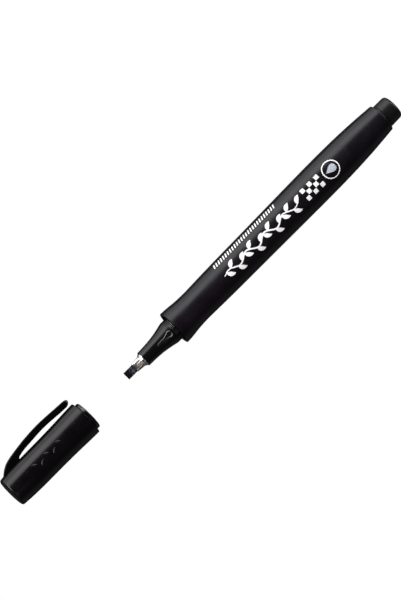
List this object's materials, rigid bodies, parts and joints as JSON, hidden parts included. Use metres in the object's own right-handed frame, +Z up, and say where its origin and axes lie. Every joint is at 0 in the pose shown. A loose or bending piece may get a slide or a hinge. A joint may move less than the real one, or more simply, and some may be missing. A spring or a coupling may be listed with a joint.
{
  "type": "calligraphy marker",
  "caption": "Round black marker with a flat chisel-cut fibre nib in a crimped metal ferrule, and a pull-off cap with an inner liner and a springy pocket clip.",
  "frame": {"origin": "middle of the footprint of marker and cap together, on the surface that the marker lies on, with the cap pulled off and lying in line with the nib", "axes": "+X along the marker from the nib towards the tail, +Y the way the level pocket clip points, +Z up"},
  "size_m": [0.1924, 0.0172, 0.0137],
  "materials": {
    "barrel": "fine-grained matt moulded polypropylene",
    "print_ink": "screen-printed white ink, a film on the barrel with no node of its own",
    "end_plug": "glossy moulded polypropylene",
    "nose_section": "high-gloss moulded polypropylene",
    "nib_ferrule": "polished and crimped nickel-plated sheet",
    "chisel_nib": "ink-soaked bonded polyester felt, scuffed at the chisel edge",
    "ink_reservoir": "ink-soaked polyester fibre",
    "reservoir_film": "clear polypropylene film",
    "cap_shell": "satin moulded polypropylene",
    "cap_liner": "satin moulded polyethylene",
    "pocket_clip": "satin moulded polypropylene"
  },
  "bodies": {
    "pen": {"barrel": "barrel", "end_plug": "end_plug", "nose_section": "nose_section", "nib_ferrule": "nib_ferrule", "chisel_nib": "chisel_nib", "ink_reservoir": "ink_reservoir", "reservoir_film": "reservoir_film"},
    "liner": {"cap_liner": "cap_liner"},
    "cap": {"cap_shell": "cap_shell"},
    "clip": {"pocket_clip": "pocket_clip"}
  },
  "joints": [
    {"name": "cap_slide", "type": "slide", "parent": "pen", "child": "liner", "axis": [1, 0, 0], "range_m": [0, 0.0442]},
    {"name": "cap_twist", "type": "hinge", "parent": "liner", "child": "cap", "pos_m": [-0.05925, -0.00177, 0.00687], "axis": [1, 0, 0], "continuous": true},
    {"name": "clip_flex", "type": "hinge", "parent": "cap", "child": "clip", "pos_m": [-0.08775, 0.00741, 0.00687], "axis": [0, 0, 1], "range_deg": [0, 6], "stiffness_Nm_per_rad": 0.1}
  ]
}
